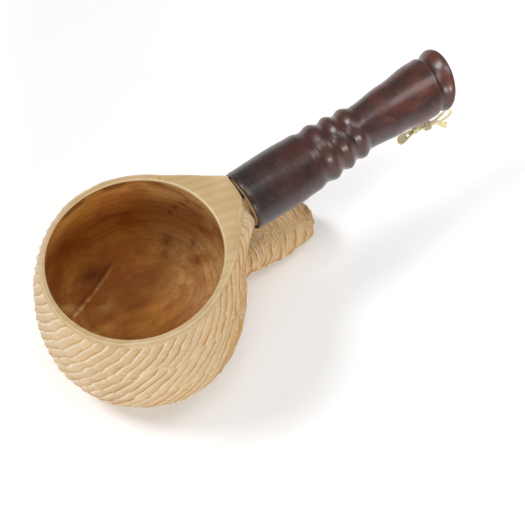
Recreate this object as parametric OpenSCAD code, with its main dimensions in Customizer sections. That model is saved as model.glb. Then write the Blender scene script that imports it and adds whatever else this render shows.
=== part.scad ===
// Kuksa with a sheath for a handle: a carved birch cup, and a wet-formed leather sheath
// over a wooden liner, which takes a small knife and is held like a handle.
// Millimetres. +Z is up, +X runs along the handle, and the origin is the centre of the base.

/* [Cup] */
// Height of the rim above the table
cup_h = 78; // [74:1:84]
// Inner radius of the mouth
mouth_r = 41.6; // [39:0.2:43]
// Width of the rim at its thinnest
rim_t = 2.8; // [2.4:0.2:4]
// Outer radius at the belly
belly_r = 51.5; // [50:0.5:53]
// Height of the belly above the table
belly_z = 33; // [30:1:36]
// Radius of the flat base
base_r = 30; // [26:1:34]
// Thickness of the wall at the belly
wall_t = 5.5; // [4:0.5:7]
// Thickness of the floor
floor_t = 9; // [7:1:12]

/* [Neck and heel] */
// Depth of the handle's axis under the rim
axis_drop = 11.7; // [11:0.1:13]
// Radius of the neck where the leather begins
neck_r = 13.4; // [12.8:0.1:13.6]
// Distance of the neck's end from the cup's centre
neck_x = 58.8; // [58:0.2:61]
// Depth of the round mortise in the neck
mortise_len = 8; // [6:0.5:9]
// Radius of the mortise and of the liner's tenon
tenon_r = 8; // [6:0.5:9]
// Largest radius of the heel under the handle
heel_r = 12.8; // [11:0.2:13.5]
// Distance of the heel's end from the cup's centre
heel_x = 99; // [94:1:104]

/* [Sheath] */
// Distance from the leather's cup end to the centre of its mouth
sleeve_len = 117; // [112:1:120]
// Thickness of the leather
leather_t = 2; // [1.6:0.1:2.4]
// Length of the liner in front of the neck
liner_len = 80; // [70:1:84]
// Thickness of the blade slot
slot_t = 4.6; // [4.2:0.1:5]
// Height of the blade slot
slot_h = 20; // [16:0.5:20]
// Lean of the sheath's mouth, top outward
mouth_lean = 13; // [0:1:15]
// Turn of the sheath's mouth, left side outward
mouth_turn = 6; // [0:1:8]
// Distance between the stitches of the seam
stitch_pitch = 5; // [4:0.5:7]

/* [Thong] */
// Thickness of the rawhide lace
lace_d = 1.5; // [1.2:0.1:1.6]
// Outer radius of the bead
bead_r = 2.8; // [2.6:0.1:3.2]
// Length of the bead
bead_len = 3.4; // [3:0.1:3.8]

/* [Hidden] */

axis_z = cup_h - axis_drop;
sleeve_x = neck_x + 1;
mouth_x = sleeve_x + sleeve_len;
liner_end = sleeve_x + liner_len;
rim_r = mouth_r + rim_t;
inner_belly_r = belly_r - wall_t;
mortise_x = neck_x - mortise_len;

birch = "BurlyWood";
dark_leather = [0.20, 0.11, 0.08];
rawhide = [0.90, 0.84, 0.58];

// Section of the leather, as [share of its length, half width, half height].
// Four valleys part three ridges, and the mouth end has a groove and a lip.
sleeve_stations = [
    [0.00, 14.9, 14.9], [0.02, 15.2, 15.2], [0.20, 15.5, 15.5], [0.355, 14.2, 14.6],
    [0.40, 14.8, 15.2], [0.44, 13.1, 13.9], [0.475, 13.9, 14.7], [0.51, 12.2, 13.5],
    [0.55, 13.1, 14.3], [0.59, 11.1, 13.2], [0.75, 12.7, 14.0], [0.90, 14.6, 14.7],
    [0.93, 14.6, 14.6], [0.95, 13.4, 13.4], [0.975, 15.0, 15.0], [1.00, 14.3, 14.3]
];
station_steps = 3;
ring_sides = 36;

// The lace's routes, from the holes in the leather to the knot, and its two cut ends.
// Each strand runs straight through the bead between the knot and the turn.
strand_near = [[170.5, -7.6, 54.8], [174, -9.6, 53.2], [176.6, -10.6, 50.8], [177, -11, 48],
    [175.6, -10.8, 45.6], [173.4, -10, 43.4], [170.5, -8.9, 42], [166, -8, 42], [161.5, -7.1, 42]];
strand_far = [[169.5, -4.6, 53.6], [172.5, -6.6, 52.6], [175, -8.4, 50.4], [174.8, -8.6, 47.6],
    [173, -7.8, 44.6], [170.5, -7.3, 42], [166, -6.4, 42], [161.5, -5.5, 42]];
tail_near = [[170.8, -9.4, 40.8], [172.6, -10.4, 40.8], [175, -11.8, 41]];
tail_far = [[170.8, -7.8, 40.6], [172.2, -10, 39.6], [173.8, -12.6, 39.6]];
knot_at = [159.7, -5.9, 42];
knot_r = 2.3;
bead_at = [165.6, -7.12, 42];
lace_turn = -11.3;
bead_hole_r = lace_d + 0.4;
tab_drop = 22;
tab_t = 1.2;

// Cosine step from a to b as t goes from 0 to 1
function ease(a, b, t) = a + (b - a) * (0.5 - 0.5 * cos(180 * t));

// Outer profile of the bowl: a rounded corner up to the belly, then a gentle curve to the rim
outer_profile = concat(
    [[0, 0]],
    [for (t = [0 : 6 : 90])
        [base_r + (belly_r - base_r) * pow(sin(t), 0.8), belly_z * (1 - pow(cos(t), 0.8))]],
    [for (u = [0.1 : 0.1 : 1.0])
        [belly_r - (belly_r - rim_r) * u * u, belly_z + (cup_h - belly_z) * u]],
    [[0, cup_h]]
);

// The bowl from the belly up, drawn in a little, which the neck grows out of
shoulder_inset = 0.6;
shoulder_profile = concat(
    [[0, belly_z + 4]],
    [for (p = outer_profile) if (p[1] >= belly_z + 4 && p[0] > 0) [p[0] - shoulder_inset, p[1]]],
    [[0, cup_h]]
);

// Inner profile of the bowl, carried past the rim so that the mouth is cut clean
hollow_z = belly_z + 5;
hollow_profile = concat(
    [for (t = [0 : 6 : 90])
        [inner_belly_r * pow(sin(t), 0.8), hollow_z - (hollow_z - floor_t) * pow(cos(t), 0.8)]],
    [for (u = [0.1 : 0.1 : 1.0])
        [inner_belly_r - (inner_belly_r - mouth_r) * u * u, hollow_z + (cup_h - hollow_z) * u]],
    [[mouth_r, cup_h + 5], [0, cup_h + 5]]
);

// Profile of the heel, along its own axis from inside the bowl's wall to its round end
heel_root = 30;
heel_round = 12;
heel_profile = concat(
    [[0, heel_root], [heel_r - 2.5, heel_root], [heel_r - 2, 58], [heel_r - 0.6, 72]],
    [for (t = [0 : 10 : 90]) [heel_r * cos(t), heel_x - heel_round + heel_round * sin(t)]]
);

// Stations of the leather with the easing filled in, in millimetres along the handle
fine_stations = concat(
    [for (i = [0 : len(sleeve_stations) - 2], k = [0 : station_steps - 1])
        let (a = sleeve_stations[i], b = sleeve_stations[i + 1], t = k / station_steps)
        [sleeve_x + sleeve_len * (a[0] + (b[0] - a[0]) * t), ease(a[1], b[1], t), ease(a[2], b[2], t)]],
    [let (e = sleeve_stations[len(sleeve_stations) - 1]) [mouth_x, e[1], e[2]]]
);

// Share of the mouth's slant that a ring at x has: none over the liner, all of it at the mouth
function slant(x) = min(1, max(0, (x - liner_end) / (mouth_x - liner_end)));

// One ring of the leather's section, drawn in by inset
function ring(s, inset) = [for (i = [0 : ring_sides - 1])
    let (a = -360 * i / ring_sides, y = (s[1] - inset) * cos(a), h = (s[2] - inset) * sin(a))
    [s[0] + slant(s[0]) * (h * tan(mouth_lean) + y * tan(mouth_turn)), y, axis_z + h]];

// Solid through a list of rings, each of the same number of sides, listed clockwise along the way
module loft(rings) {
    n = len(rings[0]);
    m = len(rings);
    sides = [for (j = [0 : m - 2], i = [0 : n - 1])
        let (a = j * n + i, b = j * n + (i + 1) % n)
        each [[a, b, b + n], [a, b + n, a + n]]];
    first = [[for (i = [n - 1 : -1 : 0]) i]];
    last = [[for (i = [0 : n - 1]) (m - 1) * n + i]];
    polyhedron(points = [for (r = rings) each r], faces = concat(sides, first, last), convexity = 8);
}

// Round tube of diameter d swept along a route of points, with 8 sides
function unit(v) = v / norm(v);
function along(p, i) = unit(p[min(i + 1, len(p) - 1)] - p[max(i - 1, 0)]);
module tube(route, d) {
    loft([for (i = [0 : len(route) - 1])
        let (w = along(route, i), u = unit(cross(w, [0, 0.3, 1])), v = cross(w, u))
        [for (k = [0 : 7]) route[i] + d / 2 * (cos(45 * k) * u - sin(45 * k) * v)]]);
}

module cup_body() {
    color(birch)
    difference() {
        union() {
            rotate_extrude($fn = 120) polygon(outer_profile);
            neck();
            heel();
        }
        rotate_extrude($fn = 120) polygon(hollow_profile);
        translate([mortise_x, 0, axis_z]) rotate([0, 90, 0]) cylinder(r = tenon_r, h = 20, $fn = 48);
        translate([0, -60, cup_h]) cube([120, 120, 20]);
    }
}

// Deck and neck: flat on top, running in from both sides of the bowl to a round end
module neck() {
    hull() {
        rotate_extrude($fn = 64) polygon(shoulder_profile);
        translate([neck_x - 5, 0, axis_z]) rotate([0, 90, 0]) cylinder(r = neck_r, h = 5, $fn = 48);
    }
}

// Heel: a thumb of wood under the handle, which bears on the table when the knife is in
module heel() {
    translate([0, 0, heel_r]) rotate([0, 90, 0]) rotate_extrude($fn = 64) polygon(heel_profile);
}

// Leather-covered liner, in two halves with the blade slot between them
module liner() {
    difference() {
        union() {
            loft([for (s = fine_stations) if (s[0] < liner_end) ring(s, leather_t)]);
            translate([mortise_x, 0, axis_z]) rotate([0, 90, 0])
                cylinder(r = tenon_r, h = mortise_len + 4, $fn = 48);
        }
        translate([neck_x - 3, -slot_t / 2, axis_z - slot_h / 2]) cube([liner_len + 20, slot_t, slot_h]);
    }
}

module liner_left() {
    color(birch)
    intersection() {
        liner();
        cube([200, 50, 120]);
    }
}

module liner_right() {
    color(birch)
    intersection() {
        liner();
        translate([0, -50, 0]) cube([200, 50, 120]);
    }
}

module leather_sleeve() {
    color(dark_leather)
    difference() {
        loft([for (s = fine_stations) ring(s, 0)]);
        loft(concat([sleeve_end(-1)], [for (s = fine_stations) ring(s, leather_t)], [sleeve_end(1)]));
        lace_hole(strand_near);
        lace_hole(strand_far);
    }
}

// Ring just past one end of the leather, so that the hollow is cut clean through
function sleeve_end(side) = let (s = side < 0 ? fine_stations[0] : fine_stations[len(fine_stations) - 1])
    [for (p = ring(s, leather_t)) p + [side, 0, 0]];

// Hole in the leather where a strand comes out, square to the leather
module lace_hole(route) {
    translate([route[0][0], 0, axis_z]) rotate([atan2(route[0][2] - axis_z, route[0][1]), 0, 0])
        translate([0, 10, 0]) rotate([-90, 0, 0]) cylinder(r = lace_d / 2 + 0.3, h = 8, $fn = 24);
}

// Half height of the leather at x, between its stations
function half_height(x) = lookup(x, [for (s = fine_stations) [s[0], s[2]]]);

// Stitches of the seam, along the underside
module seam_thread() {
    color(rawhide)
    for (x = [sleeve_x + 3 : stitch_pitch : mouth_x - 14]) {
        translate([x, -1.2, axis_z - half_height(x + 1) - 0.25]) rotate([-60, 90, 0])
            cylinder(r = 0.4, h = 2.4, $fn = 16);
    }
}

module thong_strand_near() {
    color(rawhide) tube(strand_near, lace_d);
}

module thong_strand_far() {
    color(rawhide) tube(strand_far, lace_d);
}

module thong_tails() {
    color(rawhide) {
        tube(tail_near, lace_d);
        tube(tail_far, lace_d);
    }
}

module thong_knot() {
    color(rawhide) translate(knot_at) sphere(r = knot_r, $fn = 32);
}

// Flat end of the lace, with a hole, which droops from the knot
module thong_tab() {
    color(rawhide)
    translate(knot_at) rotate([0, tab_drop, 175])
    difference() {
        hull() {
            translate([8.6, 0, -tab_t / 2]) cylinder(r = 2.6, h = tab_t, $fn = 32);
            translate([knot_r, 0, -tab_t / 2]) cylinder(r = 1.4, h = tab_t, $fn = 32);
        }
        translate([5, 0, -tab_t]) cylinder(r = 0.8, h = 2 * tab_t, $fn = 24);
    }
}

module thong_bead() {
    color("Tan")
    translate(bead_at) rotate([0, 90, lace_turn])
    difference() {
        cylinder(r = bead_r, h = bead_len, center = true, $fn = 48);
        cylinder(r = bead_hole_r, h = bead_len + 2, center = true, $fn = 48);
    }
}

cup_body();
liner_left();
liner_right();
leather_sleeve();
seam_thread();
thong_strand_near();
thong_strand_far();
thong_tails();
thong_knot();
thong_tab();
thong_bead();
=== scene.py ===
"""Kuksa with a sheath handle: a gouge-carved birch cup and a wet-formed leather sheath.

Shapes are worked out in millimetres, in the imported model's frame, and made in metres.
"""

import math

import bmesh
import bpy
import numpy as np
from mathutils import Matrix, Vector


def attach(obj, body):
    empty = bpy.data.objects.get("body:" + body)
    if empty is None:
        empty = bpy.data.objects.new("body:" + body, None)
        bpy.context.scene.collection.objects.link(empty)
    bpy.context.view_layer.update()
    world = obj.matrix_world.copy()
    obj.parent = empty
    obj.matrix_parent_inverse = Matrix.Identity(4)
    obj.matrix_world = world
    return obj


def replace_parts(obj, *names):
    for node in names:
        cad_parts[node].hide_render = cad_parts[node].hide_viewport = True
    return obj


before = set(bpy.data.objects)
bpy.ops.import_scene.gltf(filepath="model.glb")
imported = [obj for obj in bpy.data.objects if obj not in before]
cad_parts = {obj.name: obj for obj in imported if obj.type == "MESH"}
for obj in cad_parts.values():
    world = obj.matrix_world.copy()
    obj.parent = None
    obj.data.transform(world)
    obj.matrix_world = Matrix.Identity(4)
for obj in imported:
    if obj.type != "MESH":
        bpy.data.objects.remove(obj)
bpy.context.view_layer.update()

MM = 0.001

# The cup, as in the CAD model
CUP_H = 78.0
RIM_R = 44.4
BELLY_R = 51.5
BELLY_Z = 33.0
BASE_R = 30.0
INNER_R = 46.0
HOLLOW_Z = 38.0
FLOOR_T = 9.0
AXIS_Z = 66.3
NECK_R = 13.4
NECK_X = 58.8
HEEL_R = 12.8
HEEL_X = 99.0

# Height at which the neck starts to leave the bowl's wall, the height over which it does, and the
# length of the heel's round end
NECK_LOW = 36.0
NECK_RISE = 17.0
HEEL_END = 12.0

# The sheath, close to the CAD model, with deeper valleys and a wider lip. Its stations are [share
# of the length, half width, half height].
SLEEVE_X = 59.8
SLEEVE_LEN = 117.0
LEATHER_T = 2.0
LINER_END = 139.8
MOUTH_LEAN = 13.0
MOUTH_TURN = 6.0
STITCH = 5.0
STATIONS = [
    [0.00, 14.9, 14.9], [0.02, 15.2, 15.2], [0.20, 15.5, 15.5], [0.31, 14.9, 15.1], [0.355, 13.7, 14.1],
    [0.398, 14.8, 15.2], [0.44, 12.7, 13.5], [0.473, 13.9, 14.7], [0.512, 11.8, 13.1],
    [0.547, 13.1, 14.3], [0.59, 11.0, 13.1], [0.75, 12.8, 14.1], [0.88, 14.6, 14.7],
    [0.922, 14.6, 14.6], [0.941, 13.0, 13.0], [0.988, 15.2, 15.2], [1.00, 15.0, 15.0],
]

# The lace, as in the CAD model
LACE_D = 1.5
STRAND_NEAR = [
    (170.5, -7.6, 54.8), (174, -9.6, 53.2), (176.6, -10.6, 50.8), (177, -11, 48),
    (175.6, -10.8, 45.6), (173.4, -10, 43.4), (170.5, -8.9, 42), (166, -8, 42), (161.5, -7.1, 42),
]
STRAND_FAR = [
    (169.5, -4.6, 53.6), (172.5, -6.6, 52.6), (175, -8.4, 50.4), (174.8, -8.6, 47.6),
    (173, -7.8, 44.6), (170.5, -7.3, 42), (166, -6.4, 42), (161.5, -5.5, 42),
]
TAIL_NEAR = [(170.8, -9.4, 40.8), (172.6, -10.4, 40.8), (175, -11.8, 41)]
TAIL_FAR = [(170.8, -7.8, 40.6), (172.2, -10, 39.6), (173.8, -12.6, 39.6)]
KNOT_AT = (159.7, -5.9, 42)
BEAD_AT = (165.6, -7.12, 42)
LACE_TURN = -11.3

# The lace's flat end, from the knot: the hole's place, the first end's place, the distance to the
# second end, and the half widths at both
HOLE_AT = 5.0
TAB_START = 2.3
TAB_LEN = 6.3
TAB_HALF = (1.4, 2.6)


# ---- helpers


def ease(t):
    """Smooth step from 0 to 1."""
    t = np.clip(t, 0, 1)
    return t * t * (3 - 2 * t)


def bell(x, width):
    """1 at 0, falling off over width."""
    return np.exp(-((x / width) ** 2))


def cos_sin(degrees):
    """Cosine and sine of an angle."""
    return math.cos(math.radians(degrees)), math.sin(math.radians(degrees))


def noise(p, q, seed=0.0):
    """Smooth random field from -1 to 1, with bumps about one unit apart."""
    i, j = np.floor(p), np.floor(q)
    u, v = p - i, q - j
    u, v = u * u * (3 - 2 * u), v * v * (3 - 2 * v)

    def corner(a, b):
        h = np.sin((i + a) * 12.9898 + (j + b) * 78.233 + seed * 3.71) * 43758.5453
        return h - np.floor(h)

    low = corner(0, 0) * (1 - u) + corner(1, 0) * u
    high = corner(0, 1) * (1 - u) + corner(1, 1) * u
    return 2 * (low * (1 - v) + high * v) - 1


def smooth_path(points, steps):
    """Catmull-Rom curve through points, with steps between each two."""
    p = np.array(points, float)
    p = np.vstack([2 * p[0] - p[1], p, 2 * p[-1] - p[-2]])
    out = []
    for i in range(1, len(p) - 2):
        for t in np.arange(steps) / steps:
            a, b, c, d = p[i - 1], p[i], p[i + 1], p[i + 2]
            square, cube = 2 * a - 5 * b + 4 * c - d, 3 * b - a - 3 * c + d
            out.append(0.5 * (2 * b + (c - a) * t + square * t**2 + cube * t**3))
    out.append(p[-2])
    return np.array(out)


def mesh_object(name, verts, faces, materials, body="kuksa", marks=None, slots=None):
    """Object from millimetre points, smooth shaded, with float marks stored on its points."""
    mesh = bpy.data.meshes.new(name)
    mesh.from_pydata((np.asarray(verts, float) * MM).tolist(), [], faces)
    mesh.validate()
    for m in materials:
        mesh.materials.append(m)
    mesh.polygons.foreach_set("use_smooth", [True] * len(mesh.polygons))
    if slots is not None:
        mesh.polygons.foreach_set("material_index", slots)
    for key, values in (marks or {}).items():
        mark = mesh.attributes.new(key, "FLOAT", "POINT")
        mark.data.foreach_set("value", np.asarray(values, np.float32))
    mesh.update()
    obj = bpy.data.objects.new(name, mesh)
    bpy.context.scene.collection.objects.link(obj)
    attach(obj, body)
    return obj


def grid_faces(rows, cols):
    """Quads between closed rows of cols points each."""
    faces = []
    for j in range(rows - 1):
        for i in range(cols):
            a, b = j * cols + i, j * cols + (i + 1) % cols
            faces.append((a, b, b + cols, a + cols))
    return faces


def ring_faces(rows, cols):
    """Quads between closed rows, and from the last row back to the first."""
    last = (rows - 1) * cols
    ends = [(i, (i + 1) % cols) for i in range(cols)]
    return grid_faces(rows, cols) + [(last + a, last + b, b, a) for a, b in ends]


def tube(path, width, thick, turn=0.0, sides=12, swell=0.0, seed=1.0):
    """Points and faces of a strip with rounded edges along path, ends closed."""
    path = np.asarray(path, float)
    way = np.gradient(path, axis=0)
    way /= np.linalg.norm(way, axis=1)[:, None]
    side = np.cross(way, [0, 0.3, 1])
    side /= np.linalg.norm(side, axis=1)[:, None]
    over = np.cross(way, side)
    n = len(path)
    angle = turn * np.linspace(0, 1, n)[:, None]
    c, s = np.cos(angle), np.sin(angle)
    side, over = side * c + over * s, over * c - side * s
    end = np.minimum(np.arange(n), np.arange(n)[::-1])
    taper = np.where(end == 0, 0.72, 1.0)
    wave = 1 + swell * noise(np.arange(n) * 0.7, np.full(n, seed), seed)
    a = 2 * np.pi * np.arange(sides) / sides
    flat = 0.8
    x = np.sign(np.cos(a)) * np.abs(np.cos(a)) ** flat * width / 2
    y = np.sign(np.sin(a)) * np.abs(np.sin(a)) ** flat * thick / 2
    k = (taper * wave)[:, None, None]
    rings = path[:, None, :] + k * (x[None, :, None] * side[:, None, :] + y[None, :, None] * over[:, None, :])
    verts = rings.reshape(-1, 3)
    faces = grid_faces(n, sides)
    faces.append(tuple(range(sides))[::-1])
    faces.append(tuple(range((n - 1) * sides, n * sides)))
    return verts, faces


def merge(parts):
    """One list of points and faces from several."""
    verts, faces, at = [], [], 0
    for v, f in parts:
        verts.append(np.asarray(v, float))
        faces += [tuple(i + at for i in face) for face in f]
        at += len(v)
    return np.vstack(verts), faces


# ---- materials


class Shader:
    """A material's node tree, with short calls for its nodes."""

    def __init__(self, name):
        self.mat = bpy.data.materials.new(name)
        self.mat.use_nodes = True
        self.tree = self.mat.node_tree
        self.bsdf = self.tree.nodes["Principled BSDF"]
        coords = self.add("ShaderNodeTexCoord")
        place = {0: coords.outputs["Object"], "Scale": 1 / MM}
        self.mm = self.add("ShaderNodeVectorMath", {"operation": "SCALE"}, place)
        self.xyz = self.add("ShaderNodeSeparateXYZ", {}, {0: self.mm.outputs[0]})

    def add(self, kind, settings=None, inputs=None):
        node = self.tree.nodes.new(kind)
        for key, value in (settings or {}).items():
            setattr(node, key, value)
        for key, value in (inputs or {}).items():
            self.set(node.inputs[key], value)
        return node

    def set(self, socket, value):
        if isinstance(value, bpy.types.NodeSocket):
            self.tree.links.new(value, socket)
        else:
            socket.default_value = value

    def math(self, op, a, b=0.0, c=0.0, clamp=False):
        settings = {"operation": op, "use_clamp": clamp}
        return self.add("ShaderNodeMath", settings, {0: a, 1: b, 2: c}).outputs[0]

    def times(self, a, b):
        return self.math("MULTIPLY", a, b)

    def mark(self, name):
        """A float stored on the mesh's points."""
        return self.add("ShaderNodeAttribute", {"attribute_name": name}).outputs["Fac"]

    def noise(self, scale, detail=3.0, rough=0.5, warp=0.0, stretch=(1, 1, 1), shift=(0, 0, 0)):
        """Noise with scale bumps to the millimetre, stretched by axis."""
        place = {"Vector": self.mm.outputs[0], "Scale": stretch, "Location": shift}
        where = self.add("ShaderNodeMapping", {}, place).outputs[0]
        bumps = {"Vector": where, "Scale": scale, "Detail": detail, "Roughness": rough, "Distortion": warp}
        return self.add("ShaderNodeTexNoise", {}, bumps).outputs["Fac"]

    def ramp(self, value, stops, mode="EASE"):
        """Greys or colours by value: stops are (place, grey or colour)."""
        node = self.add("ShaderNodeValToRGB", {}, {0: value})
        node.color_ramp.interpolation = mode
        while len(node.color_ramp.elements) < len(stops):
            node.color_ramp.elements.new(1.0)
        for element, (place, colour) in zip(node.color_ramp.elements, stops):
            element.position = place
            grey = isinstance(colour, (int, float))
            element.color = (colour, colour, colour, 1) if grey else (*colour, 1)
        return node.outputs[0]

    def mix(self, factor, a, b):
        """Colour a where factor is 0, and b where it is 1."""
        node = self.add("ShaderNodeMix", {"data_type": "RGBA"}, {0: factor})
        for socket, value in ((node.inputs[6], a), (node.inputs[7], b)):
            self.set(socket, (*value, 1) if isinstance(value, tuple) else value)
        return node.outputs[2]

    def bump(self, height, distance, strength=1.0, under=None):
        inputs = {"Height": height, "Distance": distance, "Strength": strength}
        if under is not None:
            inputs["Normal"] = under
        return self.add("ShaderNodeBump", {}, inputs).outputs[0]

    def finish(self, colour, rough, normal=None, **constants):
        self.set(self.bsdf.inputs["Base Color"], colour)
        self.set(self.bsdf.inputs["Roughness"], rough)
        if normal is not None:
            self.set(self.bsdf.inputs["Normal"], normal)
        for key, value in constants.items():
            self.bsdf.inputs[key.replace("_", " ")].default_value = value
        return self.mat


def growth_rings(s, pitch, wander, tilt, turn=-20.0):
    """Growth rings of a trunk lying along the handle: 0 between the rings, 1 on the dark late wood.

    tilt is how fast the rings rise sideways, and turn is the trunk's angle to the handle.
    """
    bend = s.noise(0.03, 2.0, 0.5, 0.0, (0.7, 1, 1))
    fine = s.noise(0.16, 3.0, 0.55, 0.0, (0.5, 1, 1), (7, 3, 1))
    cs, sn = cos_sin(turn)
    x, y, z = s.xyz.outputs
    across = s.math("SUBTRACT", s.times(y, cs), s.times(x, sn))
    depth = s.math("SUBTRACT", s.times(z, 0.95), s.times(across, tilt))
    depth = s.math("MULTIPLY_ADD", bend, wander, depth)
    depth = s.math("MULTIPLY_ADD", fine, wander * 0.14, depth)
    part = s.math("FRACT", s.math("DIVIDE", depth, pitch))
    return s.ramp(part, [(0.0, 0.0), (0.5, 0.10), (0.86, 1.0), (0.94, 0.55), (1.0, 0.0)], "LINEAR")


def birch():
    """Pale carved birch: cream painted highlight by the ridges, tan painted shade in the cuts and on their
    shaded sides, faint growth rings and short fibres.
    """
    s = Shader("birch_carved")
    cloud = s.noise(0.03, 3.0, 0.6)
    fibre = s.noise(0.8, 4.0, 0.65, 0.1, (0.16, 1, 1))
    speck = s.noise(1.5, 2.0, 0.5, 0.0, (0.5, 1, 1), (3, 9, 4))
    rings = growth_rings(s, 4.4, 11.0, 0.85, -15.0)
    fine = growth_rings(s, 2.1, 14.0, 0.80, -12.0)
    clouds = [(0.32, (0.70, 0.515, 0.29)), (0.5, (0.74, 0.555, 0.34)), (0.68, (0.71, 0.54, 0.35))]
    colour = s.ramp(cloud, clouds)
    planed = s.mark("planed")
    colour = s.mix(planed, colour, s.ramp(cloud, [(0.38, (0.51, 0.36, 0.172)), (0.62, (0.585, 0.43, 0.23))]))
    lines = s.times(rings, s.math("MULTIPLY_ADD", planed, 0.24, 0.12))
    lines = s.math("MULTIPLY_ADD", fine, s.math("MULTIPLY_ADD", planed, 0.12, 0.04), lines)
    colour = s.mix(lines, colour, (0.40, 0.24, 0.10))
    colour = s.mix(s.ramp(fibre, [(0.34, 0.30), (0.58, 0.0)]), colour, (0.52, 0.34, 0.18))
    colour = s.mix(s.ramp(speck, [(0.68, 0.0), (0.78, 0.5)]), colour, (0.32, 0.17, 0.07))
    # Painted shade in the hollows of the cuts.
    colour = s.mix(s.times(s.mark("painted_hollow_shade"), 0.20), colour, (0.56, 0.35, 0.15))
    # Painted shade on the side of each cut turned from the light, and the darkened notch in the deck.
    colour = s.mix(s.math("MULTIPLY", s.mark("painted_shade_and_notch"), 0.74, 0.0, True), colour, (0.50, 0.255, 0.065))
    # Painted highlight on the lit side of each cut and along the rim's edges.
    colour = s.mix(s.mark("wear_and_highlight"), colour, (0.88, 0.75, 0.56))
    rough = s.ramp(fibre, [(0.3, 0.62), (0.7, 0.46)])
    normal = s.bump(fibre, 0.00010, 0.7)
    normal = s.bump(speck, 0.00006, 0.6, normal)
    return s.finish(colour, rough, normal, Specular_IOR_Level=0.3)


def birch_inside():
    """Birch soaked with oil: red-brown, with fine rings, darker clouds and a pale crack."""
    s = Shader("birch_oiled")
    cloud = s.noise(0.032, 4.0, 0.6, 0.6, (0.7, 1, 1), (5, 2, 8))
    patch = s.noise(0.055, 4.0, 0.60, 0.6, (0.6, 1, 1), (11, 4, 2))
    fibre = s.noise(0.8, 4.0, 0.65, 0.2, (0.14, 1, 1), (1, 5, 3))
    rings = growth_rings(s, 2.3, 5.0, 0.22)
    wide = growth_rings(s, 6.1, 9.0, 0.22)
    clouds = [(0.36, (0.79, 0.40, 0.100)), (0.52, (0.67, 0.295, 0.054)), (0.66, (0.50, 0.180, 0.028))]
    colour = s.ramp(cloud, clouds)
    colour = s.mix(s.times(s.mark("pale"), 0.75), colour, (0.74, 0.52, 0.23))
    colour = s.mix(s.ramp(patch, [(0.44, 0.0), (0.64, 0.66)]), colour, (0.39, 0.112, 0.015))
    colour = s.mix(s.times(rings, 0.28), colour, (0.27, 0.09, 0.018))
    colour = s.mix(s.times(wide, 0.30), colour, (0.30, 0.12, 0.03))
    colour = s.mix(s.ramp(fibre, [(0.35, 0.3), (0.6, 0.0)]), colour, (0.30, 0.12, 0.03))
    # Dark stains, pits and a band under the far rim, and painted shade on the near side of the inside.
    colour = s.mix(s.times(s.mark("dark"), 0.8), colour, (0.13, 0.035, 0.008))
    colour = s.mix(s.mark("figure"), colour, (0.84, 0.55, 0.22))
    colour = s.mix(s.mark("lip"), colour, (0.62, 0.44, 0.23))
    rough = s.ramp(fibre, [(0.3, 0.66), (0.7, 0.52)])
    normal = s.bump(rings, 0.00006, 0.5, s.bump(fibre, 0.00005, 0.5))
    return s.finish(colour, rough, normal, Specular_IOR_Level=0.18)


def birch_plain():
    """Bare liner wood, smooth and a little darker than the cup."""
    s = Shader("birch_liner")
    fibre = s.noise(0.9, 4.0, 0.65, 0.2, (0.1, 1, 1))
    rings = growth_rings(s, 2.6, 6.0, 0.3)
    colour = s.mix(s.times(rings, 0.5), (0.52, 0.34, 0.17), (0.34, 0.19, 0.08))
    colour = s.mix(s.ramp(fibre, [(0.35, 0.4), (0.65, 0.0)]), colour, (0.33, 0.19, 0.09))
    return s.finish(colour, s.ramp(fibre, [(0.3, 0.7), (0.7, 0.5)]), s.bump(fibre, 0.0001, 0.6))


def leather():
    """Dark waxed leather: near black at the cup, red-brown at the mouth, fine creases round it."""
    s = Shader("leather_waxed")
    cloud = s.noise(0.045, 4.0, 0.6, 0.5, (0.8, 1, 1))
    patch = s.noise(0.09, 3.0, 0.6, 0.3, (0.7, 1, 1), (4, 8, 2))
    crease = s.noise(0.8, 4.0, 0.7, 0.5, (1.6, 0.45, 0.45))
    cells = {"Vector": s.mm.outputs[0], "Scale": 1.7, "Smoothness": 0.6}
    pebble = s.add("ShaderNodeTexVoronoi", {"feature": "SMOOTH_F1"}, cells).outputs["Distance"]
    ends = {0: s.xyz.outputs[0], 1: 60.0, 2: 150.0, 3: 0.0, 4: 1.0}
    along = s.add("ShaderNodeMapRange", {}, ends).outputs[0]
    clouds = [(0.36, (0.026, 0.009, 0.007)), (0.52, (0.040, 0.012, 0.0085)), (0.66, (0.068, 0.018, 0.010))]
    colour = s.ramp(cloud, clouds)
    reds = s.times(s.ramp(patch, [(0.44, 0.0), (0.60, 0.8)]), along)
    colour = s.mix(reds, colour, (0.120, 0.025, 0.012))
    colour = s.mix(s.ramp(along, [(0.0, 0.80), (0.25, 0.0)]), colour, (0.013, 0.0085, 0.0075))
    colour = s.mix(s.ramp(pebble, [(0.25, 0.0), (0.75, 0.35)]), colour, (0.012, 0.006, 0.005))
    # Lighter on the ridges and edges, where the leather is worn.
    colour = s.mix(s.mark("wear_and_highlight"), colour, (0.10, 0.04, 0.02))
    # Darker on the cut end and the inside, with painted shade in the groove under the lip.
    colour = s.mix(s.times(s.mark("raw_and_groove_shade"), 0.8), colour, (0.030, 0.014, 0.007))
    blend = s.math("ADD", s.times(crease, 0.6), s.times(cloud, 0.4))
    rough = s.ramp(blend, [(0.35, 0.26), (0.65, 0.42)])
    normal = s.bump(crease, 0.00026, 0.6)
    normal = s.bump(pebble, 0.00010, 0.6, normal)
    return s.finish(colour, rough, normal, Specular_IOR_Level=0.45, Coat_Weight=0.4, Coat_Roughness=0.2)


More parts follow.
